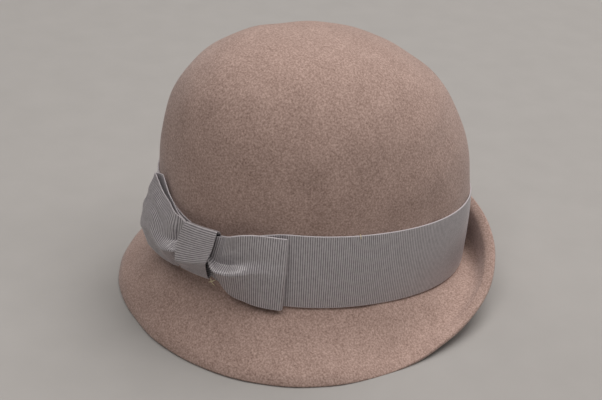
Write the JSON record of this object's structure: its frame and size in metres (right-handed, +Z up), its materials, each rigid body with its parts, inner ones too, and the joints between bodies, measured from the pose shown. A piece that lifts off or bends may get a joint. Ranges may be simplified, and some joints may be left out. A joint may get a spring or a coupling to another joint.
{
  "type": "cloche hat",
  "caption": "Felt cloche hat with a deep round crown, a short brim turned up at the back, and a ribbon band tied off in a flat bow near the front.",
  "frame": {"origin": "on the table, under the middle of the hat's outline seen from above", "axes": "+Z up; the wearer faces -Y, so +Y is the turned-up back; +X is the wearer's left"},
  "size_m": [0.237, 0.244, 0.1742],
  "materials": {
    "wool_felt": "taupe wool felt with a short soft nap",
    "grosgrain_ribbon": "grey ribbed grosgrain with a low sheen"
  },
  "bodies": {
    "root": {"felt_body": "wool_felt", "ribbon_band": "grosgrain_ribbon", "bow_loop_front": "grosgrain_ribbon", "bow_loop_back": "grosgrain_ribbon", "bow_knot": "grosgrain_ribbon"}
  },
  "joints": []
}
